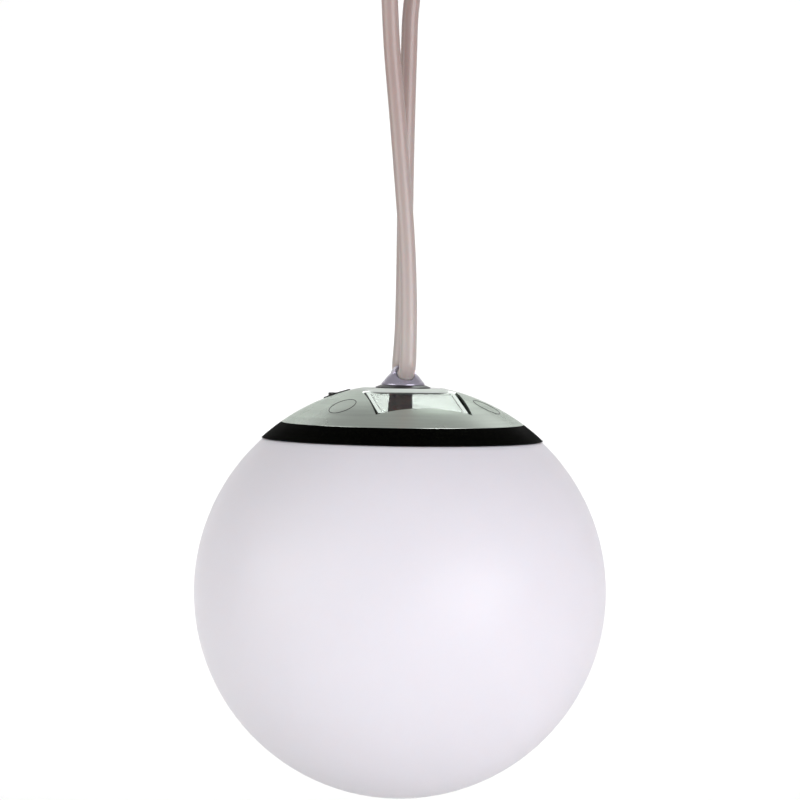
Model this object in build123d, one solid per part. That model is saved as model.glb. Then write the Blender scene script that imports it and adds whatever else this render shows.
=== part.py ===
"""Hanging solar garden globe: a milky globe turned on to a solar cap, hung on a loop of cord.

Millimetres, +Z up. The model's origin is the top of the hanging loop, inside the loop, where a
hook carries it. Every rigid piece is drawn about the globe's centre, on the lamp's axis, and
moved down to its place at the end. The lamp's front is -Y.
"""
from build123d import *
from math import cos, pi, radians, sin, sqrt, tan
import os

os.makedirs("parts", exist_ok=True)

# ---- globe
globe_radius = 100.0
globe_wall = 2.2
hang_height = 370.0            # loop's inner top above the globe's centre

# ---- black base housing: a visible band, a skirt that enters the globe, and a floor
skin_step = 0.7                # band and cap stand this far outside the globe's surface
band_low_radius = 68.3
band_high_radius = 58.9
neck_bore_radius = 58.0        # hole in the globe's shoulder
neck_clearance = 0.4           # globe turns on the skirt
skirt_wall = 2.2
rim_gap = 0.4                  # seam between the band and the globe's shoulder
collar_wall = 2.4
collar_height = 3.4
compartment_depth = 11.4       # from the cap's seat down to the compartment's floor
floor_wall = 2.0
seal_width = 2.8
seal_height = 1.6

# ---- bayonet
lug_count = 3
lug_angle = 22.0
lug_reach = 4.6
lug_height = 2.7
lug_clearance = 0.3
notch_margin = 1.6             # degrees each side of a lug
twist_angle = 30.0             # from locked to free
stop_angle = 4.0
stop_play = 0.6                # degrees between a lug and its stop rib

# ---- silver cap
cap_wall = 2.2
plateau_radius = 20.0
seam_gap = 0.12
seat_drop = 2.3                # cap rim's foot below its visible edge
spigot_depth = 2.6
spigot_wall = 2.4
spigot_clearance = 0.2
oring_height = 1.3
oring_depth = 1.2

# ---- solar modules, one in front and one behind, turned about the axis
panel_turn = 13.2
panel_width = 44.5
panel_front = 43.3             # distance of the low edge from the axis
panel_back = 14.6              # distance of the high edge from the axis
panel_tilt = 17.5
panel_sink = 0.2               # low edge below the dome at its corners
panel_thick = 3.6
frame_border = 2.4
frame_floor = 1.0
window_thick = 1.1
window_edge = 0.5
panel_gap = 1.0
pocket_bed = 0.3               # bonding bed under a module
tray_wall = 1.8
cable_hole_radius = 1.5

# ---- cap screws under their plugs
screw_angle = 54.0             # from the module's axis
screw_circle = 43.5
plug_radius = 6.3
plug_gap = 0.12
plug_thick = 2.2
screw_radius = 2.0
screw_head_radius = 3.6
screw_head_height = 2.4
screw_well_depth = 2.8         # room under the plug for the head
screw_gap = 0.2
screw_bite = 9.0
post_radius = 4.4

# ---- switch
button_azimuth = -100.0        # from the front towards +X
button_circle = 32.7
button_radius = 4.2
button_top = 95.9
button_gap = 0.3
button_travel = 1.2
button_flange = 1.1
bezel_radius = 6.4
bezel_flange = 0.5
bezel_tube_wall = 1.2
bezel_depth = 5.6
plunger_radius = 1.5
plunger_gap = 0.3
switch_side = 7.0
switch_height = 5.0

# ---- hanging eye: a half dome with a tunnel for the cord
cord_radius = 4.0
eye_radius = 10.0
eye_lobe_height = 6.2
eye_half_thickness = 3.7
crown_radius = 5.7
crown_height = 12.5
tunnel_gap = 0.6
tunnel_floor = 1.2
bend_radius = 8.0              # cord's centre line, where it turns up on each side of the eye
bend_offset = 0.9              # each bend's centre from the middle of the eye
eye_lip_radius = 10.6
eye_lip_height = 1.0
seal_disc_radius = 13.3
seal_disc_thick = 1.4
seal_disc_inner = 8.4
stem_radius = 4.0
stem_length = 10.0
nut_flats = 13.0
nut_height = 4.0
spring_washer_radius = 6.2
spring_washer_thick = 1.6
thread_gap = 0.06

# ---- inside the compartment
cell_radius = 7.1
cell_length = 49.0
cell_nub_radius = 2.7
cell_nub = 1.4
holder_wall = 1.6
holder_gap = 0.4
contact_thick = 0.5
board_thick = 1.6
board_width = 25.0
board_length = 33.0
board_offset = -35.4
board_rise = 11.6
led_board_radius = 17.0
led_radius = 2.5
led_circle = 9.0
led_count = 4
led_drop = 3.4
lens_radius = 23.0
lens_drop = 10.5
lens_wall = 1.5
small_screw_radius = 1.2
small_head_radius = 2.4
small_head_height = 1.5
small_screw_bite = 4.0
small_post_radius = 3.0

# ---- cord and its joining sleeve
sleeve_radius = 5.8
sleeve_length = 24.0
sleeve_gap = 0.05
sleeve_web = 1.0
sleeve_centre = Vector(4.3, 6.8, -64.0)
sleeve_axis = Vector(4.2, 2.6, 24.0).normalized()
sleeve_reach = 20.0

# ---- heights and radii that follow
cap_radius = globe_radius + skin_step


def height_at(sphere, radius):
    """Height of a sphere about the globe's centre, at this distance from the axis."""
    return sqrt(sphere**2 - radius**2)


rim_z = height_at(cap_radius, band_low_radius)
shoulder_z = rim_z - rim_gap
shoulder_under_z = shoulder_z - collar_wall
seam_z = height_at(cap_radius, band_high_radius)
seat_z = seam_z - seat_drop
floor_z = seat_z - compartment_depth
floor_under_z = floor_z - floor_wall
skirt_radius = neck_bore_radius - neck_clearance
skirt_inner = skirt_radius - skirt_wall
collar_radius = neck_bore_radius + collar_wall
collar_top_z = shoulder_z + collar_height
plateau_z = height_at(cap_radius, plateau_radius)
ceiling_z = plateau_z - cap_wall
cap_inner = cap_radius - cap_wall
spigot_radius = skirt_inner - spigot_clearance
spigot_inner = spigot_radius - spigot_wall
tilt_slope = tan(radians(panel_tilt))
panel_corner = sqrt(panel_front**2 + (panel_width / 2) ** 2)
panel_low_z = height_at(cap_radius, panel_corner) - panel_sink
cord_z = plateau_z + tunnel_floor + tunnel_gap + cord_radius
lug_top_z = shoulder_under_z - lug_clearance


def panel_z(distance):
    """Height of a module's top plane at this distance from the axis."""
    return panel_low_z + (panel_front - distance) * tilt_slope


def turned(points):
    """Solid of revolution about the lamp's axis of a closed (radius, height) outline."""
    return revolve(Plane.XZ * make_face(Polyline(*points, close=True)), Axis.Z)


def ball(radius):
    return Sphere(radius)


def rod(radius, low, high, x=0.0, y=0.0):
    """Upright cylinder between two heights."""
    return Pos(x, y, (low + high) / 2) * Cylinder(radius, high - low)


def block(x_size, y_size, low, high, x=0.0, y=0.0):
    """Upright box between two heights."""
    return Pos(x, y, (low + high) / 2) * Box(x_size, y_size, high - low)


def ring(outer, inner, low, high):
    return rod(outer, low, high) - rod(inner, low - 1, high + 1)


def sector(inner, outer, low, high, start, span):
    """Part of a ring that spans these degrees, anticlockwise from +X."""
    face = make_face(
        Polyline(
            (inner, 0, low), (outer, 0, low), (outer, 0, high), (inner, 0, high), close=True
        )
    )
    return Rot(0, 0, start) * revolve(face, Axis.Z, revolution_arc=span)


def turned_front(shape):
    """Turn a shape drawn on the front, with its module axis on -Y, to its own azimuth."""
    return Rot(0, 0, panel_turn) * shape


screw_spots = []
for side in (screw_angle, -screw_angle, 180 - screw_angle, 180 + screw_angle):
    angle = radians(side)
    screw_spots.append((screw_circle * sin(angle), -screw_circle * cos(angle)))

button_angle = radians(button_azimuth - panel_turn)
button_spot = (button_circle * sin(button_angle), -button_circle * cos(button_angle))
board_screw_spots = [(board_offset - 8.6, 13.0), (board_offset - 8.6, -13.0)]
holder_length = cell_length + cell_nub + 2 * (holder_wall + contact_thick + holder_gap)
holder_width = 4 * cell_radius + 3 * holder_wall + 4 * holder_gap
holder_screw_y = holder_length / 2 - 20.0
led_screw_spots = [(13.0, 0.0), (-13.0, 0.0)]
lens_screw_radius = lens_radius + 3.2


# ---------------------------------------------------------------- globe
def globe_shell():
    """Blown globe: open neck, flat shoulder, and a collar with three notches for the lugs."""
    inner = globe_radius - globe_wall
    shell = ball(globe_radius) - ball(inner)
    top = 2 * globe_radius
    shell -= rod(top, shoulder_z, top)
    plate = rod(height_at(globe_radius - globe_wall / 2, shoulder_under_z), shoulder_under_z, shoulder_z)
    plate &= ball(globe_radius)
    shell += plate
    shell += rod(collar_radius, shoulder_z - 0.5, collar_top_z)
    shell -= rod(neck_bore_radius, shoulder_under_z - 1, collar_top_z + 1)
    notch_span = lug_angle + 2 * notch_margin
    notch_reach = skirt_radius + lug_reach + neck_clearance
    for index in range(lug_count):
        centre = index * 360 / lug_count + twist_angle
        shell -= sector(
            neck_bore_radius - 1, notch_reach, shoulder_under_z - 1, collar_top_z + 1,
            centre - notch_span / 2, notch_span,
        )
        stop_start = index * 360 / lug_count - lug_angle / 2 - stop_play - stop_angle
        shell += sector(
            neck_bore_radius, notch_reach, shoulder_under_z - lug_height, shoulder_under_z + 0.5,
            stop_start, stop_angle,
        )
    return shell


def globe_seal():
    """Flat ring in the band's underside that closes the seam to the globe's shoulder."""
    middle = (collar_radius + band_low_radius) / 2
    return ring(middle + seal_width / 2, middle - seal_width / 2, rim_z - rim_gap / 2, rim_z + seal_height)


# ---------------------------------------------------------------- base housing
def base_housing():
    """Black band, web, skirt and floor in one moulding, with lugs, posts and ribs."""
    cavity_top = collar_top_z + neck_clearance
    cavity_radius = collar_radius + neck_clearance
    outline = Polyline(
        (band_high_radius, seam_z), (band_high_radius, seat_z), (skirt_inner, seat_z),
        (skirt_inner, floor_z), (0, floor_z), (0, floor_under_z), (skirt_radius, floor_under_z),
        (skirt_radius, cavity_top), (cavity_radius, cavity_top), (cavity_radius, rim_z),
        (band_low_radius, rim_z),
    )
    middle = (band_low_radius + band_high_radius) / 2
    skin = ThreePointArc(
        (band_low_radius, rim_z), (middle, height_at(cap_radius, middle)), (band_high_radius, seam_z)
    )
    body = revolve(Plane.XZ * make_face(outline.edges() + skin.edges()), Axis.Z)
    seal_middle = (collar_radius + band_low_radius) / 2
    body -= ring(seal_middle + seal_width / 2, seal_middle - seal_width / 2, rim_z - 1, rim_z + seal_height)
    for index in range(lug_count):
        start = index * 360 / lug_count - lug_angle / 2
        body += sector(
            skirt_radius - 0.5, skirt_radius + lug_reach, lug_top_z - lug_height, lug_top_z,
            start, lug_angle,
        )
    rib_low = floor_z - 0.5
    post_top = plug_floor_z() - screw_gap
    inside = []
    for x, y in screw_spots:
        inside.append(rod(post_radius, rib_low, post_top, x, y))
        rib = block(skirt_inner - screw_circle, 1.6, rib_low, floor_z + 6.0)
        spoke = Pos((skirt_inner + screw_circle) / 2, 0, 0) * rib
        bearing = degrees_of(x, y)
        inside.append(Rot(0, 0, bearing) * spoke)
    for x, y in board_screw_spots:
        inside.append(rod(small_post_radius, rib_low, floor_z + board_rise, x, y))
    for shape in inside:
        body += turned_front(shape)
    for x, y in screw_spots:
        body -= turned_front(rod(screw_radius + thread_gap, post_top - screw_bite - 1, post_top + 1, x, y))
    for x, y in board_screw_spots:
        top = floor_z + board_rise
        body -= turned_front(rod(small_screw_radius + thread_gap, top - small_screw_bite - 0.5, top + 1, x, y))
    for x, y in lens_screw_spots():
        body -= rod(small_screw_radius + thread_gap, floor_under_z - 1, floor_z + 1, x, y)
    body -= rod(cable_hole_radius, floor_under_z - 1, floor_z + 1)
    return body


def degrees_of(x, y):
    return Vector(1, 0, 0).get_signed_angle(Vector(x, y, 0))


def plug_floor_z():
    """Underside of the screw wells, which stand on the posts."""
    return height_at(cap_radius, screw_circle + plug_radius) - plug_thick - screw_well_depth - cap_wall


def cap_seal():
    """Ring in a groove round the cap's spigot."""
    low = seat_z - spigot_depth + (spigot_depth - oring_height) / 2
    return ring(skirt_inner - 0.05, spigot_radius - oring_depth, low, low + oring_height)


# ---------------------------------------------------------------- cap
def module_prism(width, front, back, top_drop, bottom_drop):
    """Prism of the front module: upright sides, tilted top and bottom, module axis on -Y."""
    profile = make_face(
        Polyline(
            (0, -front, panel_z(front) - top_drop), (0, -back, panel_z(back) - top_drop),
            (0, -back, panel_z(back) - bottom_drop), (0, -front, panel_z(front) - bottom_drop),
            close=True,
        )
    )
    return extrude(profile, amount=width / 2, dir=(1, 0, 0), both=True)


def cap_dome():
    """Silver dome with a flat top, two module pockets, four screw wells and a switch hole."""
    outer_edge = band_high_radius - seam_gap
    edge_z = height_at(cap_radius, outer_edge)
    lower = Polyline(
        (outer_edge, edge_z), (outer_edge, seat_z), (spigot_radius, seat_z),
        (spigot_radius, seat_z - spigot_depth), (spigot_inner, seat_z - spigot_depth),
        (spigot_inner, height_at(cap_inner, spigot_inner)),
    )
    inner_top = sqrt(cap_inner**2 - ceiling_z**2)
    middle = (spigot_inner + inner_top) / 2
    inner_skin = ThreePointArc(
        (spigot_inner, height_at(cap_inner, spigot_inner)), (middle, height_at(cap_inner, middle)),
        (inner_top, ceiling_z),
    )
    top = Polyline((inner_top, ceiling_z), (0, ceiling_z), (0, plateau_z), (plateau_radius, plateau_z))
    middle = (plateau_radius + outer_edge) / 2
    outer_skin = ThreePointArc(
        (plateau_radius, plateau_z), (middle, height_at(cap_radius, middle)), (outer_edge, edge_z)
    )
    outline = lower.edges() + inner_skin.edges() + top.edges() + outer_skin.edges()
    dome = revolve(Plane.XZ * make_face(outline), Axis.Z)

    envelope = ball(cap_radius) & rod(spigot_inner + 0.5, seat_z - spigot_depth, plateau_z)
    well_low = plug_floor_z()
    tray_drop = panel_thick + pocket_bed + tray_wall
    tray = module_prism(
        panel_width + 2 * (panel_gap + tray_wall), panel_front + panel_gap + tray_wall,
        panel_back - panel_gap - tray_wall, -2 * cap_wall, tray_drop,
    )
    pocket = module_prism(
        panel_width + 2 * panel_gap, panel_front + panel_gap, panel_back - panel_gap,
        -20.0, panel_thick + pocket_bed,
    )
    cable_hole = rod(cable_hole_radius, seat_z - 10, plateau_z, 0, -(panel_back + 8.0))
    added = []
    for half_turn in (0, 180):
        added.append(turned_front(Rot(0, 0, half_turn) * tray))
    for x, y in screw_spots:
        added.append(turned_front(rod(plug_radius + cap_wall, well_low, plateau_z, x, y)))
    bezel_tube = button_radius + button_gap + bezel_tube_wall
    x, y = button_spot
    added.append(turned_front(rod(bezel_tube + 1.8, button_top - bezel_depth, plateau_z, x, y)))
    added.append(rod(stem_radius + 5.0, ceiling_z - 1.0, plateau_z))
    for shape in added:
        dome += shape & envelope
    for half_turn in (0, 180):
        dome -= turned_front(Rot(0, 0, half_turn) * pocket)
        dome -= turned_front(Rot(0, 0, half_turn) * cable_hole)
    for x, y in screw_spots:
        dome -= turned_front(rod(plug_radius + plug_gap, well_low + cap_wall, plateau_z + 1, x, y))
        dome -= turned_front(rod(screw_radius + 0.3, well_low - 1, plateau_z, x, y))
    x, y = button_spot
    dome -= turned_front(rod(bezel_tube + 0.1, seat_z, plateau_z + 1, x, y))
    dome -= rod(stem_radius + 0.2, ceiling_z - 2, plateau_z + 1)
    low = seat_z - spigot_depth + (spigot_depth - oring_height) / 2
    dome -= ring(spigot_radius + 1, spigot_radius - oring_depth, low - 0.05, low + oring_height + 0.05)
    return dome


def screw_plugs():
    """Four flush covers, cut to the dome's own curve."""
    solids = []
    for x, y in screw_spots:
        low = plug_floor_z() + cap_wall + screw_well_depth
        solids.append(turned_front(rod(plug_radius, low, plateau_z, x, y)) & ball(cap_radius))
    return solids


def cap_screws():
    """Pan-head screws through the wells into the housing's posts."""
    solids = []
    for x, y in screw_spots:
        seat = plug_floor_z() + cap_wall
        head = rod(screw_head_radius, seat, seat + screw_head_height, x, y)
        head = fillet(head.edges().filter_by(GeomType.CIRCLE).sort_by(Axis.Z)[-1], 0.9)
        shank = rod(screw_radius, plug_floor_z() - screw_gap - screw_bite, seat + 0.5, x, y)
        cross = block(0.9, 4.0, seat + screw_head_height - 1.2, seat + screw_head_height + 1, x, y)
        cross += block(4.0, 0.9, seat + screw_head_height - 1.2, seat + screw_head_height + 1, x, y)
        solids.append(turned_front(head + shank - cross))
    return solids


# ---------------------------------------------------------------- solar modules
def solar_frame():
    """Tray-shaped frame with a border round the cell and its window."""
    frame = module_prism(panel_width, panel_front, panel_back, 0, panel_thick)
    tops = [face for face in frame.faces() if abs(face.normal_at().Z) > 0.5]
    top_face = sorted(tops, key=lambda face: face.center().Z)[-1]
    frame = chamfer(top_face.edges(), window_edge)
    frame -= module_prism(
        panel_width - 2 * frame_border, panel_front - frame_border, panel_back + frame_border,
        -5.0, panel_thick - frame_floor,
    )
    frame -= rod(cable_hole_radius, seat_z - 10, plateau_z, 0, -(panel_back + 8.0))
    return frame


def solar_cell():
    return module_prism(
        panel_width - 2 * frame_border, panel_front - frame_border, panel_back + frame_border,
        window_thick, panel_thick - frame_floor,
    )


def solar_window():
    """Clear cover, flush with the frame, its upper edge eased."""
    window = module_prism(
        panel_width - 2 * frame_border, panel_front - frame_border, panel_back + frame_border,
        0, window_thick,
    )
    tops = [face for face in window.faces() if abs(face.normal_at().Z) > 0.5]
    top_face = sorted(tops, key=lambda face: face.center().Z)[-1]
    return chamfer(top_face.edges(), window_edge / 2)


# ---------------------------------------------------------------- switch
def switch_bezel():
    """Sleeve in the dome with a thin flange that follows the dome's curve."""
    x, y = button_spot
    tube = button_radius + button_gap + bezel_tube_wall
    low = button_top - bezel_depth
    flange = rod(bezel_radius, seat_z, plateau_z, x, y) & ball(cap_radius + bezel_flange)
    flange -= ball(cap_radius)
    sleeve = rod(tube, low, plateau_z, x, y) & ball(cap_radius + 0.1)
    bezel = flange + sleeve - rod(button_radius + button_gap, seat_z, plateau_z + 1, x, y)
    return turned_front(bezel)


def switch_button():
    """Round push button, its captive flange under the sleeve, and its plunger."""
    x, y = button_spot
    low = button_top - bezel_depth
    cap = rod(button_radius, low, button_top, x, y)
    cap = fillet(cap.edges().filter_by(GeomType.CIRCLE).sort_by(Axis.Z)[-1], 0.5)
    flange = rod(button_radius + 0.9, low - 0.1 - button_flange, low - 0.1, x, y)
    neck = rod(button_radius, low - 0.1 - button_flange, low + 1, x, y)
    plunger = rod(plunger_radius, switch_top_z() - 1.2, low, x, y)
    return turned_front(cap + neck + flange + plunger)


def switch_top_z():
    return floor_z + board_rise + board_thick + switch_height


def switch_body():
    """Push switch on the board, with the well that the plunger enters."""
    x, y = button_spot
    low = floor_z + board_rise + board_thick
    body = block(switch_side, switch_side, low, switch_top_z(), x, y)
    body = chamfer(body.edges().filter_by(Axis.Z), 0.6)
    body -= rod(plunger_radius + plunger_gap, switch_top_z() - 1.2 - button_travel - 0.8, plateau_z, x, y)
    return turned_front(body)


# ---------------------------------------------------------------- hanging eye
def hanging_eye():
    """Half dome with a round tunnel, a crown over the tunnel, a foot lip and a threaded stem."""
    base = plateau_z
    tunnel = Pos(0, 0, cord_z) * Rot(90, 0, 0) * Cylinder(cord_radius + tunnel_gap, 4 * eye_radius)
    dome = Pos(0, 0, base) * ball(eye_radius)
    dome &= rod(2 * eye_radius, base, base + 2 * eye_radius)
    crown_z = base + crown_height - crown_radius
    crown = Pos(0, 0, crown_z) * Rot(90, 0, 0) * Cylinder(crown_radius, 2 * eye_half_thickness)
    middle = (dome & block(4 * eye_radius, 2 * eye_half_thickness, base, base + 40)) + crown
    lobes = dome & block(4 * eye_radius, 4 * eye_radius, base, base + eye_lobe_height)
    eye = middle + lobes
    eye -= tunnel
    saddle = Rot(0, 90, 0) * Torus(bend_radius, cord_radius + tunnel_gap)
    for side in (-1, 1):
        eye -= Pos(0, side * bend_offset, cord_z + bend_radius) * saddle
    eye -= ring(2 * eye_radius, seal_disc_inner - 0.1, base - 1, base + seal_disc_thick)
    eye += ring(eye_lip_radius, seal_disc_inner - 0.6, base + seal_disc_thick, base + seal_disc_thick + eye_lip_height)
    foot = rod(seal_disc_inner - 0.1, base, base + tunnel_floor)
    stem = rod(stem_radius, base - stem_length, base + 0.5)
    return eye + foot + stem


def eye_seal_washer():
    """Black ring under the eye's lip, flared down to the plateau."""
    base = plateau_z
    return turned([
        (seal_disc_inner, base), (seal_disc_radius, base), (seal_disc_radius, base + 0.5),
        (eye_lip_radius + 0.4, base + seal_disc_thick), (seal_disc_inner, base + seal_disc_thick),
    ])


def eye_spring_washer():
    top = ceiling_z - 1.0
    washer = ring(spring_washer_radius, stem_radius + 0.3, top - spring_washer_thick, top)
    slit = block(3.0, 0.8, top - 5, top + 1, spring_washer_radius - 1.0, 0)
    return washer - slit


def eye_nut():
    """Hexagon nut on the stem."""
    top = ceiling_z - 1.0 - spring_washer_thick
    nut = extrude(RegularPolygon(nut_flats / 2, 6, major_radius=False), nut_height)
    nut = Pos(0, 0, top - nut_height) * nut
    return nut - rod(stem_radius + thread_gap, top - nut_height - 1, top + 1)


# ---------------------------------------------------------------- inside
def battery_holder():
    """Open tray with a cradle for each of two cells."""
    height = 2 * cell_radius + holder_wall
    tray = block(holder_width, holder_length, floor_z, floor_z + height)
    pitch = 2 * cell_radius + 2 * holder_gap + holder_wall
    inner_length = holder_length - 2 * holder_wall
    for side in (-1, 1):
        x = side * pitch / 2
        cradle_z = floor_z + holder_wall + cell_radius + holder_gap
        bore = Pos(x, 0, cradle_z) * Rot(90, 0, 0) * Cylinder(cell_radius + holder_gap, inner_length)
        tray -= bore
        tray -= block(2 * (cell_radius + holder_gap), inner_length, cradle_z, floor_z + 40, x, 0)
    for x in (-holder_width / 2, holder_width / 2):
        tray -= block(6.0, 16.0, floor_z + 6.0, floor_z + 40, x, 0)
    return turned_front(tray)


def battery_cells():
    solids = []
    pitch = 2 * cell_radius + 2 * holder_gap + holder_wall
    cell_z = floor_z + holder_wall + cell_radius + holder_gap
    for side in (-1, 1):
        can = Rot(90, 0, 0) * Cylinder(cell_radius, cell_length)
        can = fillet(can.edges().filter_by(GeomType.CIRCLE), 0.6)
        nub_y = side * (cell_length + cell_nub) / 2
        nub = Pos(0, nub_y, 0) * Rot(90, 0, 0) * Cylinder(cell_nub_radius, cell_nub + 0.4)
        shift = -side * cell_nub / 2
        solids.append(turned_front(Pos(side * pitch / 2, shift, cell_z) * (can + nub)))
    return solids


def battery_contacts():
    """Sprung plates at both ends of each cradle."""
    solids = []
    pitch = 2 * cell_radius + 2 * holder_gap + holder_wall
    cell_z = floor_z + holder_wall + cell_radius + holder_gap
    end = holder_length / 2 - holder_wall - contact_thick / 2
    for x in (-pitch / 2, pitch / 2):
        for y in (-end, end):
            solids.append(turned_front(Pos(x, y, cell_z) * Box(10.0, contact_thick, 11.0)))
    return solids


def control_board():
    low = floor_z + board_rise
    board = block(board_width, board_length, low, low + board_thick, board_offset, 0)
    board = chamfer(board.edges().filter_by(Axis.Z), 2.0)
    for x, y in board_screw_spots:
        board -= rod(small_screw_radius + 0.2, low - 1, low + 3, x, y)
    return turned_front(board)


def board_components():
    """Charge controller, coil, capacitor and wire socket, each on the board."""
    low = floor_z + board_rise + board_thick
    chip = block(5.0, 6.2, low, low + 1.6, board_offset + 4.0, 3.0)
    coil = rod(3.0, low, low + 3.0, board_offset - 5.0, 4.5)
    capacitor = rod(2.5, low, low + 5.5, board_offset - 2.0, 11.0)
    capacitor = fillet(capacitor.edges().filter_by(GeomType.CIRCLE).sort_by(Axis.Z)[-1], 0.5)
    socket = block(5.0, 8.0, low, low + 4.0, board_offset + 7.0, -6.0)
    socket -= block(3.4, 6.4, low + 1.0, low + 5.0, board_offset + 7.0, -6.0)
    return [turned_front(shape) for shape in (chip, coil, capacitor, socket)]


def small_screw(x, y, seat, upward):
    """Small pan-head screw; its head is above its seat, or below it when it points upward."""
    head = rod(small_head_radius, 0, small_head_height)
    head = fillet(head.edges().filter_by(GeomType.CIRCLE).sort_by(Axis.Z)[-1], 0.5)
    shank = rod(small_screw_radius, -board_thick - small_screw_bite, 0.3)
    screw = head + shank - block(0.7, 3.4, small_head_height - 0.7, small_head_height + 1)
    if upward:
        screw = Rot(180, 0, 0) * screw
    return Pos(x, y, seat) * screw


def board_screws():
    seat = floor_z + board_rise + board_thick
    return [turned_front(small_screw(x, y, seat, False)) for x, y in board_screw_spots]


def led_board():
    """Round board under the housing's floor."""
    board = rod(led_board_radius, floor_under_z - board_thick, floor_under_z)
    return board - rod(cable_hole_radius, floor_under_z - 5, floor_under_z + 1)


def leds():
    solids = []
    top = floor_under_z - board_thick
    for index in range(led_count):
        angle = radians(45 + index * 360 / led_count)
        x = led_circle * cos(angle)
        y = led_circle * sin(angle)
        base = rod(led_radius + 0.3, top - 0.8, top, x, y)
        barrel = rod(led_radius, top - led_drop + led_radius, top - 0.4, x, y)
        tip = Pos(x, y, top - led_drop + led_radius) * ball(led_radius)
        tip &= rod(led_radius, top - led_drop - 1, top - 0.4, x, y)
        solids.append(base + barrel + tip)
    return solids


def led_lens():
    """Shallow clear bowl with a flange, over the light-emitting board."""
    top = floor_under_z
    bowl_radius = (lens_radius**2 + lens_drop**2) / (2 * lens_drop)
    centre = Pos(0, 0, top - lens_drop + bowl_radius)
    below = rod(2 * lens_radius, top - 2 * lens_drop, top - lens_wall)
    bowl = centre * ball(bowl_radius) - centre * ball(bowl_radius - lens_wall)
    bowl &= below
    flange = ring(lens_radius + 6.0, lens_radius - 3.0, top - lens_wall, top)
    lens = bowl + flange
    for angle in (90, 210, 330):
        x = lens_screw_radius * cos(radians(angle))
        y = lens_screw_radius * sin(radians(angle))
        lens -= rod(small_screw_radius + 0.2, top - 3, top + 1, x, y)
    return lens


def lens_screws():
    """Screws that hold the lens up to the floor; they end in the floor's own pilot holes."""
    solids = []
    for x, y in lens_screw_spots():
        head = rod(small_head_radius, -small_head_height, 0)
        head = fillet(head.edges().filter_by(GeomType.CIRCLE).sort_by(Axis.Z)[0], 0.5)
        shank = rod(small_screw_radius, -0.3, lens_wall + floor_wall)
        slot = block(0.7, 3.4, -small_head_height - 1, -small_head_height + 0.7)
        solids.append(Pos(x, y, floor_under_z - lens_wall) * (head + shank - slot))
    return solids


def lens_screw_spots():
    spots = []
    for angle in (90, 210, 330):
        x = lens_screw_radius * cos(radians(angle))
        y = lens_screw_radius * sin(radians(angle))
        spots.append((x, y))
    return spots


# ---------------------------------------------------------------- cord
def cord_route():
    """Centre line of the cord: up from the sleeve, over the hook, down, through the eye, back."""
    eye_level = cord_z - hang_height
    start = sleeve_centre + sleeve_axis * (sleeve_web / 2)
    finish = sleeve_centre - sleeve_axis * (sleeve_web / 2)
    over_the_hook = [
        sleeve_centre + sleeve_axis * sleeve_reach,
        Vector(11.2, 11.5, -24), Vector(11.9, 12.1, -8.9), Vector(8.7, 8.9, -0.6),
        Vector(3.2, 3.2, cord_radius), Vector(-3.2, -3.2, cord_radius),
        Vector(-8.7, -8.9, -0.6), Vector(-11.9, -12.1, -8.9),
    ]
    down_the_front = [
        Vector(-12.1, -11.6, -21), Vector(-11.4, -9.6, -40), Vector(-10.3, -7.3, -62),
        Vector(-9.3, -5.8, -84), Vector(-7.9, -5.4, -108), Vector(-5.2, -5.8, -134),
        Vector(-2.0, -6.7, -168), Vector(1.1, -7.9, -200), Vector(2.7, -8.7, -227),
        Vector(2.3, -9.0, eye_level + 17.5),
    ]
    through_the_eye = [Vector(0.3, -8.9, eye_level), Vector(-0.3, 8.9, eye_level)]
    up_the_back = [
        Vector(-1.5, 9.0, eye_level + 17), Vector(-1.2, 8.5, -227), Vector(-0.6, 7.4, -201),
        Vector(-0.3, 6.2, -169), Vector(0.0, 5.3, -137), Vector(0.4, 4.8, -110),
        sleeve_centre - sleeve_axis * sleeve_reach,
    ]
    return [start] + over_the_hook + down_the_front + through_the_eye + up_the_back + [finish]


def cord_loop():
    route = cord_route()
    radii = []
    for before, here, after in zip(route, route[1:], route[2:]):
        first = here - before
        second = after - here
        half_turn = radians(first.get_angle(second)) / 2
        radii.append(0.45 * min(first.length, second.length) / tan(half_turn))
    print("cord arc radii:", " ".join(f"{radius:.1f}" for radius in radii))
    path = FilletPolyline(*route, radius=radii)
    section = Plane(route[0], z_dir=route[1] - route[0]) * Circle(cord_radius)
    tube = sweep(section, path=path)
    expected = pi * cord_radius**2 * path.length
    print(f"cord length {path.length:.1f} mm, volume over section x length {tube.volume / expected:.5f}")
    return tube


def joining_sleeve():
    """Barrel that holds both ends of the cord against a web in its middle."""
    barrel = Cylinder(sleeve_radius, sleeve_length)
    ends = barrel.edges().filter_by(GeomType.CIRCLE)
    barrel = fillet(ends, 1.0)
    for side in (-1, 1):
        depth = (sleeve_length - sleeve_web) / 2 + 1
        bore_centre = side * (sleeve_web / 2 + depth / 2)
        barrel -= Pos(0, 0, bore_centre) * Cylinder(cord_radius + sleeve_gap, depth)
        for distance in (3.6, 8.0):
            groove = Torus(sleeve_radius + 0.5, 1.1)
            barrel -= Pos(0, 0, side * distance) * groove
    return Plane(sleeve_centre, z_dir=sleeve_axis).location * barrel


# ---------------------------------------------------------------- assembly
def on_front(shape):
    return turned_front(shape)


def on_back(shape):
    return turned_front(Rot(0, 0, 180) * shape)


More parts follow.
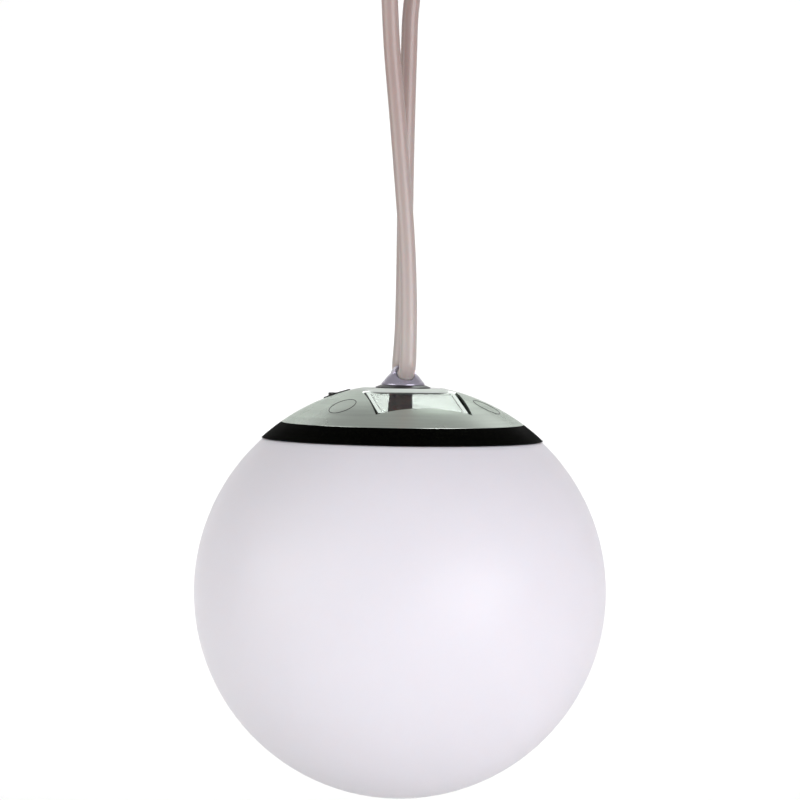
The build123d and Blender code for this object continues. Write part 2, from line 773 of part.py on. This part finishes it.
lamp_pieces = {
    "globe_shell": globe_shell(),
    "globe_seal": globe_seal(),
    "base_housing": base_housing(),
    "cap_seal": cap_seal(),
    "cap_dome": cap_dome(),
    "screw_plugs": screw_plugs(),
    "cap_screws": cap_screws(),
    "solar_frame_front": on_front(solar_frame()),
    "solar_cell_front": on_front(solar_cell()),
    "solar_window_front": on_front(solar_window()),
    "solar_frame_back": on_back(solar_frame()),
    "solar_cell_back": on_back(solar_cell()),
    "solar_window_back": on_back(solar_window()),
    "switch_bezel": switch_bezel(),
    "switch_button": switch_button(),
    "switch_body": switch_body(),
    "hanging_eye": hanging_eye(),
    "eye_seal_washer": eye_seal_washer(),
    "eye_spring_washer": eye_spring_washer(),
    "eye_nut": eye_nut(),
    "battery_holder": battery_holder(),
    "battery_cells": battery_cells(),
    "battery_contacts": battery_contacts(),
    "control_board": control_board(),
    "board_components": board_components(),
    "board_screws": board_screws(),
    "led_board": led_board(),
    "leds": leds(),
    "led_lens": led_lens(),
    "lens_screws": lens_screws(),
}
hanger_pieces = {
    "cord_loop": cord_loop(),
    "joining_sleeve": joining_sleeve(),
}

for name, shape in lamp_pieces.items():
    solids = shape if isinstance(shape, list) else [shape]
    placed = [Pos(0, 0, -hang_height) * solid for solid in solids]
    export_step(placed[0] if len(placed) == 1 else Compound(children=placed), f"parts/{name}.step")
for name, shape in hanger_pieces.items():
    export_step(shape, f"parts/{name}.step")
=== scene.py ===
"""Looks of the hanging solar globe light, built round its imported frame. Metres, +Z up."""
import math

import bmesh
import bpy
from mathutils import Matrix, Vector


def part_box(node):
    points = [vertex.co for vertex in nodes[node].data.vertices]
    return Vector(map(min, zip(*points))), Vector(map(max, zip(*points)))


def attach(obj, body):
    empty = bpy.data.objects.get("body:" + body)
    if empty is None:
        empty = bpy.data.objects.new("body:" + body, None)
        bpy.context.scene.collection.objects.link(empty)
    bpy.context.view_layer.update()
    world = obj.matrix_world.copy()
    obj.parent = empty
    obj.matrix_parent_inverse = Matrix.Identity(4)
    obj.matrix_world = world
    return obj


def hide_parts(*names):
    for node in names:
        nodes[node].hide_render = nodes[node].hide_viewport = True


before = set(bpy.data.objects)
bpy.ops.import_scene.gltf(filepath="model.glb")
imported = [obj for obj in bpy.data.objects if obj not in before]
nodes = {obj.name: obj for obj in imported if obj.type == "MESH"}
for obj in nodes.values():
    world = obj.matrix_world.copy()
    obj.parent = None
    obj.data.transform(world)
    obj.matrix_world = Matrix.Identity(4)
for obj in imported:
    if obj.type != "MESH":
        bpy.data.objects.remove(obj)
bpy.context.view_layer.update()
scene = bpy.context.scene

MM = 0.001
globe_low, globe_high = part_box("globe_shell")
GLOBE_RADIUS = (globe_high.x - globe_low.x) / 2
GLOBE_Z = globe_low.z + GLOBE_RADIUS
GLOBE_CENTRE = Vector((0, 0, GLOBE_Z))


# ---------------------------------------------------------------- camera
# The photograph's own view: 800 pixels square, nearly level with the cap, rolled a little.
IMAGE_PIXELS = 800
FOCAL_PIXELS = 2435
SENSOR_MM = 36
CAMERA_DISTANCE = 1.182
CAMERA_RISE = 0.131            # above the globe's centre
CAMERA_SIDE = -0.00136
CAMERA_PITCH = -1.85
CAMERA_ROLL = 0.87


def make_camera():
    data = bpy.data.cameras.new("camera")
    data.sensor_width = SENSOR_MM
    data.lens = FOCAL_PIXELS / IMAGE_PIXELS * SENSOR_MM
    data.clip_end = 50
    camera = bpy.data.objects.new("camera", data)
    scene.collection.objects.link(camera)
    place = Matrix.Translation((CAMERA_SIDE, -CAMERA_DISTANCE, GLOBE_Z + CAMERA_RISE))
    pitch = Matrix.Rotation(math.radians(90 + CAMERA_PITCH), 4, "X")
    roll = Matrix.Rotation(math.radians(CAMERA_ROLL), 4, "Z")
    camera.matrix_world = place @ pitch @ roll
    scene.camera = camera


# ---------------------------------------------------------------- materials
NOISE_ROUGHNESS = 0.55
FADE_HALF_WIDTH = 2 * MM
MATT_SEAT_RADIUS = 25 * MM


class Look:
    """A node material with one Principled shader, its colour and bump made by texture nodes."""

    def __init__(self, name, colour, roughness, metallic=0.0, **sockets):
        self.material = bpy.data.materials.new(name)
        self.material.use_nodes = True
        self.tree = self.material.node_tree
        self.shader = self.tree.nodes["Principled BSDF"]
        self.colour = colour
        self.shader.inputs["Base Color"].default_value = (*colour, 1)
        self.shader.inputs["Roughness"].default_value = roughness
        self.shader.inputs["Metallic"].default_value = metallic
        for key, value in sockets.items():
            self.shader.inputs[key.replace("_", " ")].default_value = value
        self.roughness = roughness
        self.coordinates = self.add("ShaderNodeTexCoord").outputs["Object"]
        self.height = None

    def add(self, kind, **settings):
        node = self.tree.nodes.new(kind)
        for key, value in settings.items():
            setattr(node, key, value)
        return node

    def link(self, source, target):
        self.tree.links.new(source, target)

    def noise(self, scale, detail=4.0, stretch=None):
        """Noise at a scale per metre, squeezed along the axes where stretch is given."""
        texture = self.add("ShaderNodeTexNoise")
        texture.inputs["Scale"].default_value = scale
        texture.inputs["Detail"].default_value = detail
        texture.inputs["Roughness"].default_value = NOISE_ROUGHNESS
        source = self.coordinates
        if stretch:
            mapping = self.add("ShaderNodeMapping")
            mapping.inputs["Scale"].default_value = stretch
            self.link(source, mapping.inputs["Vector"])
            source = mapping.outputs["Vector"]
        self.link(source, texture.inputs["Vector"])
        return texture.outputs["Fac"]

    def spread(self, source, low, high, to_low, to_high):
        """Map a texture's value from one range to another."""
        ramp = self.add("ShaderNodeMapRange")
        ramp.inputs["From Min"].default_value = low
        ramp.inputs["From Max"].default_value = high
        ramp.inputs["To Min"].default_value = to_low
        ramp.inputs["To Max"].default_value = to_high
        self.link(source, ramp.inputs["Value"])
        return ramp.outputs["Result"]

    def tint(self, source, other, low=0.35, high=0.65):
        """Blend the base colour towards another one by a texture."""
        mix = self.add("ShaderNodeMix", data_type="RGBA")
        mix.inputs["A"].default_value = (*self.colour, 1)
        mix.inputs["B"].default_value = (*other, 1)
        self.link(self.spread(source, low, high, 0, 1), mix.inputs["Factor"])
        self.link(mix.outputs["Result"], self.shader.inputs["Base Color"])

    def vary_roughness(self, source, amount):
        """Let the roughness wander by an amount each way."""
        low, high = self.roughness - amount, self.roughness + amount
        result = self.spread(source, 0.3, 0.7, low, high)
        self.link(result, self.shader.inputs["Roughness"])

    def tint_along_height(self, other, low, high):
        """Blend the base colour towards another one from one height to another."""
        place = self.add("ShaderNodeSeparateXYZ")
        self.link(self.coordinates, place.inputs["Vector"])
        self.tint(place.outputs["Z"], other, low, high)

    def matt_inside(self, radius):
        """Fade the metal gleam out towards the flat seat round the lamp's axis."""
        flat = self.add("ShaderNodeMapping")
        flat.inputs["Scale"].default_value = (1, 1, 0)
        self.link(self.coordinates, flat.inputs["Vector"])
        length = self.add("ShaderNodeVectorMath", operation="LENGTH")
        self.link(flat.outputs["Vector"], length.inputs[0])
        metallic = self.shader.inputs["Metallic"]
        low, high = radius - FADE_HALF_WIDTH, radius + FADE_HALF_WIDTH
        gleam = self.spread(length.outputs["Value"], low, high, 0.0, metallic.default_value)
        self.link(gleam, metallic)

    def bump(self, source, distance):
        """Raise the surface by a texture, on top of the bumps added before."""
        bump = self.add("ShaderNodeBump")
        bump.inputs["Distance"].default_value = distance
        bump.inputs["Strength"].default_value = 1.0
        self.link(source, bump.inputs["Height"])
        if self.height is not None:
            self.link(self.height, bump.inputs["Normal"])
        self.height = bump.outputs["Normal"]
        self.link(self.height, self.shader.inputs["Normal"])


def make_looks():
    """Every material, by the key that CAD_LOOKS and the pieces use."""
    looks = {}

    look = Look("milky_globe", (0.82, 0.755, 0.815), 0.42, Specular_IOR_Level=0.35)
    look.shader.inputs["Subsurface Weight"].default_value = 0.6
    look.shader.inputs["Subsurface Radius"].default_value = (1.0, 0.8, 0.75)
    look.shader.inputs["Subsurface Scale"].default_value = 8 * MM
    look.tint(look.noise(9, 3), (0.80, 0.735, 0.79))
    look.vary_roughness(look.noise(60), 0.03)
    look.bump(look.noise(900, 2), 0.02 * MM)
    looks["globe"] = look

    look = Look("matt_black", (0.0005, 0.0005, 0.0005), 0.55, IOR=1.04)
    look.tint(look.noise(1500, 2), (0.006, 0.0065, 0.004), 0.5, 0.75)
    look.vary_roughness(look.noise(50), 0.06)
    look.bump(look.noise(2600, 2), 0.03 * MM)
    looks["black"] = look

    look = Look("silver_paint", (0.63, 0.68, 0.63), 0.27, 0.95)
    look.shader.inputs["Specular Tint"].default_value = (0.66, 0.70, 0.66, 1)
    streaks = look.noise(700, 3, stretch=(0.02, 0.02, 1))
    look.tint(streaks, (0.55, 0.59, 0.55))
    look.matt_inside(MATT_SEAT_RADIUS)
    look.vary_roughness(look.noise(30), 0.03)
    look.bump(look.noise(1400, 3), 0.006 * MM)
    look.bump(streaks, 0.006 * MM)
    looks["silver"] = look

    look = Look("panel_rim", (0.02, 0.022, 0.02), 0.10, IOR=1.3)
    look.tint(look.noise(900, 2), (0.028, 0.030, 0.027))
    look.vary_roughness(look.noise(60), 0.02)
    look.bump(look.noise(1200, 2), 0.003 * MM)
    looks["rim"] = look

    look = Look("solar_cell", (0.002, 0.002, 0.003), 0.5, Specular_IOR_Level=0.0)
    look.tint(look.noise(120), (0.004, 0.004, 0.007))
    look.bump(look.noise(700), 0.01 * MM)
    looks["cell"] = look

    look = Look("clear_window", (0.97, 0.99, 0.98), 0.03, Transmission_Weight=1.0, IOR=1.2)
    look.tint(look.noise(80), (0.95, 0.975, 0.96))
    look.bump(look.noise(25, 2), 0.004 * MM)
    looks["window"] = look

    look = Look("button_rubber", (0.008, 0.007, 0.008), 0.28)
    look.tint(look.noise(300), (0.014, 0.013, 0.013))
    look.vary_roughness(look.noise(80), 0.05)
    look.bump(look.noise(2400, 2), 0.01 * MM)
    looks["button"] = look

    look = Look("polished_eye", (0.41, 0.38, 0.45), 0.25, 0.6)
    look.tint(look.noise(60), (0.41, 0.385, 0.475))
    look.vary_roughness(look.noise(200), 0.03)
    look.bump(look.noise(500), 0.008 * MM)
    looks["eye"] = look

    # Rubber of the seals and washers; the same dark colour also paints the rings of painted shade
    # in the plug gaps
    look = Look("seal_rubber_and_gap_shade", (0.006, 0.006, 0.006), 0.4)
    look.tint(look.noise(350), (0.012, 0.012, 0.012))
    look.vary_roughness(look.noise(90), 0.05)
    look.bump(look.noise(2000, 2), 0.02 * MM)
    looks["seal"] = look

    look = Look("glossy_cord", (0.46, 0.40, 0.38), 0.32, Specular_IOR_Level=0.35)
    look.shader.inputs["Coat Weight"].default_value = 0.2
    look.shader.inputs["Coat Roughness"].default_value = 0.05
    look.shader.inputs["Subsurface Weight"].default_value = 0.25
    look.shader.inputs["Subsurface Scale"].default_value = 2 * MM
    # Painted shade: the cord's colour is darkened towards its upper part, above the eye, standing
    # in for shade that falls there
    look.tint_along_height((0.37, 0.28, 0.26), -0.25, -0.12)
    look.vary_roughness(look.noise(120), 0.04)
    look.bump(look.noise(160, 2), 0.04 * MM)
    looks["cord"] = look

    look = Look("rolled_aluminium", (0.66, 0.66, 0.67), 0.26, 1.0)
    look.tint(look.noise(300), (0.58, 0.58, 0.6))
    look.vary_roughness(look.noise(500, stretch=(1, 1, 0.05)), 0.08)
    look.bump(look.noise(900, stretch=(1, 1, 0.08)), 0.01 * MM)
    looks["sleeve"] = look

    look = Look("plated_steel", (0.6, 0.6, 0.61), 0.25, 1.0)
    look.tint(look.noise(200), (0.5, 0.5, 0.52))
    look.vary_roughness(look.noise(400), 0.08)
    look.bump(look.noise(1200), 0.01 * MM)
    looks["steel"] = look

    look = Look("cell_sleeve", (0.09, 0.2, 0.14), 0.3)
    look.tint(look.noise(40), (0.07, 0.17, 0.12))
    look.bump(look.noise(600), 0.01 * MM)
    looks["battery"] = look

    look = Look("board_green", (0.02, 0.11, 0.05), 0.35)
    look.tint(look.noise(500), (0.015, 0.08, 0.04))
    look.bump(look.noise(900), 0.02 * MM)
    looks["board"] = look

    look = Look("moulded_parts", (0.03, 0.03, 0.03), 0.45)
    look.tint(look.noise(300), (0.05, 0.05, 0.05))
    look.bump(look.noise(1500), 0.02 * MM)
    looks["parts"] = look

    look = Look("lamp_dome", (0.95, 0.92, 0.75), 0.08, Transmission_Weight=0.8, IOR=1.5)
    look.tint(look.noise(200), (0.9, 0.85, 0.6))
    look.bump(look.noise(600), 0.01 * MM)
    looks["led"] = look
    return looks


CAD_LOOKS = {
    "globe_shell": "globe", "globe_seal": "seal", "base_housing": "black", "cap_seal": "seal",
    "cap_dome": "silver", "screw_plugs": "silver", "cap_screws": "steel",
    "solar_frame_front": "rim", "solar_cell_front": "cell", "solar_window_front": "window",
    "solar_frame_back": "rim", "solar_cell_back": "cell", "solar_window_back": "window",
    "switch_bezel": "black", "switch_button": "button", "switch_body": "parts",
    "hanging_eye": "eye", "eye_seal_washer": "seal", "eye_spring_washer": "steel",
    "eye_nut": "steel", "battery_holder": "parts", "battery_cells": "battery",
    "battery_contacts": "steel", "control_board": "board", "board_components": "parts",
    "board_screws": "steel", "led_board": "board", "leds": "led", "led_lens": "window",
    "lens_screws": "steel", "cord_loop": "cord", "joining_sleeve": "sleeve",
}


def dress_nodes(looks):
    """Give each CAD node its material."""
    for name, key in CAD_LOOKS.items():
        materials = nodes[name].data.materials
        materials.clear()
        materials.append(looks[key].material)


# ---------------------------------------------------------------- meshes
def new_piece(name, bm, look):
    """Smooth-shaded object from a bmesh, with its look."""
    mesh = bpy.data.meshes.new(name)
    bmesh.ops.recalc_face_normals(bm, faces=bm.faces)
    bm.to_mesh(mesh)
    bm.free()
    mesh.shade_smooth()
    piece = bpy.data.objects.new(name, mesh)
    scene.collection.objects.link(piece)
    mesh.materials.append(look.material)
    return piece


# ---------------------------------------------------------------- cord
CORD_RADIUS = 4 * MM
# Control points of the cord's line: from the sleeve over the hook, down the front, through the
# eye and up the back to the sleeve again.
CORD_ROUTE = [
    (0.00439, 0.00685, -0.06351), (0.00773, 0.00892, -0.04441), (0.0112, 0.0115, -0.024),
    (0.0119, 0.0121, -0.0089), (0.0087, 0.0089, -0.0006), (0.0032, 0.0032, 0.004),
    (-0.0032, -0.0032, 0.004), (-0.0087, -0.0089, -0.0006), (-0.0119, -0.0121, -0.0089),
    (-0.0121, -0.0116, -0.021), (-0.0114, -0.0096, -0.040), (-0.0103, -0.0073, -0.062),
    (-0.0093, -0.0058, -0.084), (-0.0079, -0.0054, -0.108), (-0.0052, -0.0058, -0.134),
    (-0.0020, -0.0067, -0.168), (0.0009, -0.0079, -0.200), (0.0022, -0.0087, -0.227),
    (0.0024, -0.0092, -0.2480), (0.0021, -0.0091, -0.2655), (-0.0021, 0.0091, -0.2655),
    (-0.0006, 0.0092, -0.2485), (-0.0002, 0.0085, -0.227), (-0.0002, 0.0074, -0.201),
    (-0.0003, 0.0062, -0.169), (0.0, 0.0053, -0.137), (0.0004, 0.0048, -0.110),
    (0.00087, 0.00468, -0.08359), (0.00421, 0.00675, -0.06449),
]


def round_tube(name, route, radius, steps_along, steps_round):
    """Round tube on one smooth spline, with the route's points as its control points."""
    curve = bpy.data.curves.new(name, "CURVE")
    curve.dimensions = "3D"
    curve.resolution_u = steps_along
    curve.bevel_depth = radius
    curve.bevel_resolution = steps_round
    curve.use_fill_caps = True
    spline = curve.splines.new("NURBS")
    spline.points.add(len(route) - 1)
    for point, place in zip(spline.points, route):
        point.co = (*place, 1)
    spline.order_u = 3
    spline.use_endpoint_u = True
    tube = bpy.data.objects.new(name, curve)
    scene.collection.objects.link(tube)
    return tube


def make_cord(look):
    """The loop of cord, from the joining sleeve round to the sleeve again."""
    cord = round_tube("hanging_cord", CORD_ROUTE, CORD_RADIUS, 24, 12)
    cord.data.materials.append(look.material)
    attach(cord, "hanger")
    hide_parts("cord_loop")


# ---------------------------------------------------------------- hanging eye
EYE_SEAT_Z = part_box("eye_seal_washer")[1].z
EYE_MOUTH = Vector(CORD_ROUTE[19])     # where the cord enters the eye from the front
EYE_TURN = math.atan2(EYE_MOUTH.x, -EYE_MOUTH.y)
ROUTE_BY_EYE = CORD_ROUTE[17:23]
# Outline of the dome above its rubber washer: distance from the axis and height, in millimetres.
EYE_OUTLINE = [
    (0.0, 7.7), (1.6, 7.65), (3.2, 7.35), (5.0, 6.6), (7.0, 5.0), (8.8, 2.9), (9.9, 1.5),
    (10.5, 0.9), (10.6, 0.45), (10.6, 0.0), (10.0, 0.0), (8.2, 0.0), (8.2, -1.3), (0.0, -1.3),
]
DOME_SEGMENTS = 32
CROWN_RADIUS = 5.7 * MM
CROWN_HALF_DEPTH = 3.7 * MM
CROWN_EDGE = 0.6 * MM
CROWN_SEGMENTS = 96
CORD_CLEARANCE = 0.55 * MM
SHARP_ANGLE = 35


def turned_profile(outline, base_z, segments):
    """Mesh of an outline, in millimetres from the axis, turned about the lamp's axis."""
    bm = bmesh.new()
    rings = []
    for radius, height in outline:
        if radius == 0:
            rings.append([bm.verts.new((0, 0, base_z + height * MM))] * segments)
            continue
        ring = []
        for index in range(segments):
            angle = 2 * math.pi * index / segments
            x = radius * MM * math.cos(angle)
            y = radius * MM * math.sin(angle)
            ring.append(bm.verts.new((x, y, base_z + height * MM)))
        rings.append(ring)
    for upper, lower in zip(rings, rings[1:]):
        for index in range(segments):
            after = (index + 1) % segments
            corners = [upper[index], upper[after], lower[after], lower[index]]
            bm.faces.new(list(dict.fromkeys(corners)))
    return bm


def crown_mesh():
    """Rounded disc round the cord's line, which arches over the cord once the tunnel is cut."""
    bm = bmesh.new()
    bmesh.ops.create_cone(
        bm, cap_ends=True, segments=CROWN_SEGMENTS, radius1=CROWN_RADIUS, radius2=CROWN_RADIUS,
        depth=2 * CROWN_HALF_DEPTH,
    )
    turn = Matrix.Rotation(EYE_TURN, 4, "Z") @ Matrix.Rotation(math.pi / 2, 4, "X")
    place = Matrix.Translation((0, 0, EYE_MOUTH.z)) @ turn
    bmesh.ops.transform(bm, matrix=place, verts=bm.verts)
    rim = [edge for edge in bm.edges if edge.calc_face_angle() > 1]
    bmesh.ops.bevel(bm, geom=rim, offset=CROWN_EDGE, segments=4, affect="EDGES")
    return bm


def make_eye(look):
    """Dome and crown in one, with a tunnel cut along the cord's own line, a clearance wider."""
    dome_bm = turned_profile(EYE_OUTLINE, EYE_SEAT_Z, DOME_SEGMENTS)
    dome = new_piece("hanging_eye_dome", dome_bm, look)
    dome.modifiers.new("smooth", "SUBSURF").levels = 2
    crown = new_piece("crown", crown_mesh(), look)
    bed_curve = round_tube("cord_bed", ROUTE_BY_EYE, CORD_RADIUS + CORD_CLEARANCE, 16, 14)
    bed = bpy.data.objects.new("bed", bpy.data.meshes.new_from_object(bed_curve))
    scene.collection.objects.link(bed)
    for operation, helper in (("UNION", crown), ("DIFFERENCE", bed)):
        step = dome.modifiers.new(operation.lower(), "BOOLEAN")
        step.operation = operation
        step.object = helper
        step.solver = "EXACT"
    bpy.context.view_layer.update()
    view = bpy.context.evaluated_depsgraph_get()
    mesh = bpy.data.meshes.new_from_object(dome.evaluated_get(view))
    dome.modifiers.clear()
    dome.data = mesh
    mesh.set_sharp_from_angle(angle=math.radians(SHARP_ANGLE))
    for helper in (crown, bed, bed_curve):
        bpy.data.objects.remove(helper)
    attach(dome, "lamp")
    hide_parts("hanging_eye")


# ---------------------------------------------------------------- plug gap shade (painted shade)
CAP_RADIUS = 100.7 * MM
PLUG_CIRCLE = 43.5 * MM        # distance of the plugs from the lamp's axis
PLUG_ANGLES = (-54, 54, 126, 234)      # from the front solar module's axis
MODULE_TURN = 13.2
SEAM_RADIUS = 6.36 * MM
SEAM_WIDTH = 0.45 * MM
SEAM_SINK = 0.06 * MM
SEAM_STEPS = 64


def make_plug_gap_shade(look):
    """Painted shade: a dark ring round each flush plug, lying in the gap on the cap's curve,
    standing in for the shade in that gap.
    """
    seam_sphere = CAP_RADIUS - SEAM_SINK
    for number, plug_angle in enumerate(PLUG_ANGLES, 1):
        angle = math.radians(plug_angle + MODULE_TURN)
        centre_x = PLUG_CIRCLE * math.sin(angle)
        centre_y = -PLUG_CIRCLE * math.cos(angle)
        curve = bpy.data.curves.new(f"plug_gap_shade_{number}", "CURVE")
        curve.dimensions = "3D"
        curve.bevel_depth = SEAM_WIDTH / 2
        curve.bevel_resolution = 3
        spline = curve.splines.new("POLY")
        spline.points.add(SEAM_STEPS - 1)
        for index, point in enumerate(spline.points):
            turn = 2 * math.pi * index / SEAM_STEPS
            x = centre_x + SEAM_RADIUS * math.cos(turn)
            y = centre_y + SEAM_RADIUS * math.sin(turn)
            z = GLOBE_Z + math.sqrt(seam_sphere ** 2 - x * x - y * y)
            point.co = (x, y, z, 1)
        spline.use_cyclic_u = True
        seam = bpy.data.objects.new(f"plug_gap_shade_{number}", curve)
        scene.collection.objects.link(seam)
        curve.materials.append(look.material)
        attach(seam, "lamp")


# ---------------------------------------------------------------- stage and light
FLOOR_Z = -0.8
STAGE_HALF_WIDTH = 5.0
STAGE_FRONT = -3.0
WALL_Y = 3.0
WALL_TOP = 4.0
STAGE_BEND = 1.5
BEND_STEPS = 16


def make_stage():
    """Pale floor that curves up into a pale wall far behind."""
    bm = bmesh.new()
    bend_start = WALL_Y - STAGE_BEND
    profile = [(STAGE_FRONT, FLOOR_Z), (bend_start, FLOOR_Z)]
    for step in range(1, BEND_STEPS + 1):
        angle = math.pi / 2 * step / BEND_STEPS
        y = bend_start + STAGE_BEND * math.sin(angle)
        z = FLOOR_Z + STAGE_BEND * (1 - math.cos(angle))
        profile.append((y, z))
    profile.append((WALL_Y, WALL_TOP))
    rows = []
    for x in (-STAGE_HALF_WIDTH, STAGE_HALF_WIDTH):
        rows.append([bm.verts.new((x, y, z)) for y, z in profile])
    for index in range(len(profile) - 1):
        bm.faces.new((rows[0][index], rows[1][index], rows[1][index + 1], rows[0][index + 1]))
    look = Look("pale_stage", (0.9, 0.9, 0.9), 0.8)
    look.tint(look.noise(2), (0.88, 0.88, 0.88))
    stage = new_piece("stage", bm, look)


WORLD_COLOUR = (1, 1, 0.985, 1)
WORLD_STRENGTH = 0.37
PANEL_OFFSET = Vector((0.007, -0.03, 0.093))    # front solar module, from the globe's centre
CAP_OFFSET = Vector((0, 0, 0.095))


def area_light(name, place, target, size, power, colour=(1, 1, 1), size_y=None):
    """Area light that faces its target: sizes in metres, power in watts."""
    data = bpy.data.lights.new(name, "AREA")
    data.energy = power
    data.color = colour
    data.size = size
    if size_y:
        data.shape = "RECTANGLE"
        data.size_y = size_y
    light = bpy.data.objects.new(name, data)
    scene.collection.objects.link(light)
    light.location = place
    direction = Vector(target) - Vector(place)
    light.rotation_euler = direction.to_track_quat("-Z", "Y").to_euler()


def make_lights():
    """Soft studio light: two large lamps on the globe, three small ones that the cap reflects."""
    world = bpy.data.worlds.new("pale_world")
    scene.world = world
    world.use_nodes = True
    background = world.node_tree.nodes["Background"]
    background.inputs["Color"].default_value = WORLD_COLOUR
    background.inputs["Strength"].default_value = WORLD_STRENGTH
    area_light("key", (1.4, -1.7, -0.45), GLOBE_CENTRE, 1.8, 51, (1, 0.985, 1.02))
    area_light("fill", (-2.0, -1.0, 0.0), GLOBE_CENTRE, 1.7, 25.5)
    panel = GLOBE_CENTRE + PANEL_OFFSET
    glow_place = panel + 1.3 * Vector((0.062, 0.762, 0.645))
    area_light("panel_glow", glow_place, panel, 0.32, 1.85, (0.90, 1.0, 0.92))
    cap = GLOBE_CENTRE + CAP_OFFSET
    area_light("rear_left", cap + 1.6 * Vector((-0.32, 0.78, 0.54)), cap, 0.6, 0.38)
    area_light("rear_right", cap + 1.6 * Vector((0.36, 0.72, 0.60)), cap, 0.6, 0.6)
    area_light("wall_wash", (0, 1.3, 0.45), (0, WALL_Y, -0.5), 3.4, 23, size_y=0.4)


# ---------------------------------------------------------------- build
looks = make_looks()
make_camera()
dress_nodes(looks)
make_cord(looks["cord"])
make_eye(looks["eye"])
# Dark rings of painted shade in the plug gaps, in the seal rubber's colour
make_plug_gap_shade(looks["seal"])
make_stage()
make_lights()
scene.view_settings.view_transform = "Standard"
